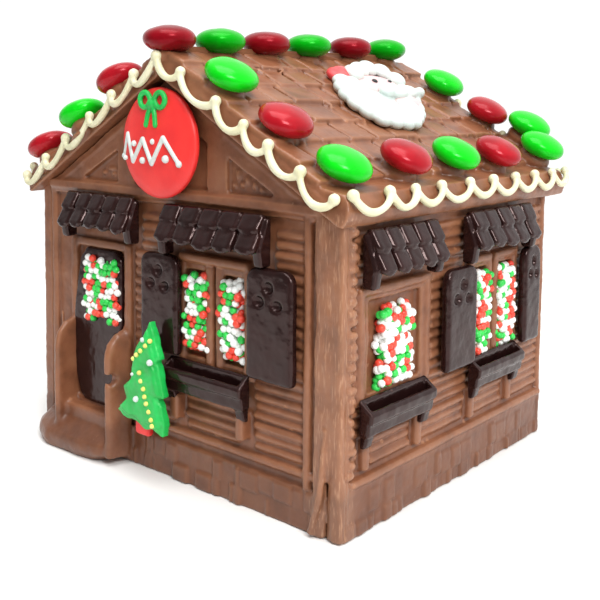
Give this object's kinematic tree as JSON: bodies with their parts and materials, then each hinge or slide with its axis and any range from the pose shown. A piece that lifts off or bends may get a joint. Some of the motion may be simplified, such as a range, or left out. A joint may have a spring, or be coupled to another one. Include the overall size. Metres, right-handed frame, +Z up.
{
  "type": "chocolate gingerbread-style house",
  "caption": "Moulded chocolate house with a gabled roof, dark shutters, awnings and flower boxes, candy-coated sweets, sugar ornaments and scalloped ropes of white icing.",
  "frame": {"origin": "centre of the house's outer box at the level it stands on", "axes": "+X to the right along the front gable wall, +Y from the front gable wall with the door to the back, +Z up"},
  "size_m": [0.1276, 0.1266, 0.1227],
  "materials": {
    "milk_chocolate": "satin milk chocolate, slightly bloomed",
    "dark_chocolate": "glossy dark chocolate",
    "candy_red": "glossy sugar shell",
    "candy_green": "glossy sugar shell",
    "white_icing": "set cream-white icing",
    "sugar_red": "pressed sugar",
    "sugar_green": "pressed sugar",
    "sugar_white": "pressed sugar"
  },
  "bodies": {
    "root": {"awning_back": "dark_chocolate", "awning_door": "dark_chocolate", "awning_front": "dark_chocolate", "awning_left_1": "dark_chocolate", "awning_left_2": "dark_chocolate", "awning_right_1": "dark_chocolate", "awning_right_2": "dark_chocolate", "bearded_figure": "sugar_white", "candy_left_1": "candy_red", "candy_left_2": "candy_green", "candy_left_3": "candy_red", "candy_left_4": "candy_green", "candy_left_5": "candy_red", "candy_left_6": "candy_green", "candy_left_7": "candy_red", "candy_left_8": "candy_green", "candy_left_9": "candy_red", "candy_ridge_1": "candy_red", "candy_ridge_2": "candy_green", "candy_ridge_3": "candy_red", "candy_ridge_4": "candy_green", "candy_ridge_5": "candy_red", "candy_ridge_6": "candy_green", "candy_right_1": "candy_green", "candy_right_10": "candy_green", "candy_right_2": "candy_red", "candy_right_3": "candy_green", "candy_right_4": "candy_red", "candy_right_5": "candy_green", "candy_right_6": "candy_red", "candy_right_7": "candy_green", "candy_right_8": "candy_red", "candy_right_9": "candy_green", "door": "dark_chocolate", "icing_back": "white_icing", "icing_front": "white_icing", "icing_left": "white_icing", "icing_right": "white_icing", "ornament": "sugar_red", "roof_left": "milk_chocolate", "roof_right": "milk_chocolate", "shutter_back_1": "dark_chocolate", "shutter_back_2": "dark_chocolate", "shutter_front_1": "dark_chocolate", "shutter_front_2": "dark_chocolate", "shutter_left_1": "dark_chocolate", "shutter_left_2": "dark_chocolate", "shutter_right_1": "dark_chocolate", "shutter_right_2": "dark_chocolate", "tree": "sugar_green", "wall_back": "milk_chocolate", "wall_front": "milk_chocolate", "wall_left": "milk_chocolate", "wall_right": "milk_chocolate", "windowbox_back": "dark_chocolate", "windowbox_front": "dark_chocolate", "windowbox_left_1": "dark_chocolate", "windowbox_left_2": "dark_chocolate", "windowbox_right_1": "dark_chocolate", "windowbox_right_2": "dark_chocolate"}
  },
  "joints": []
}
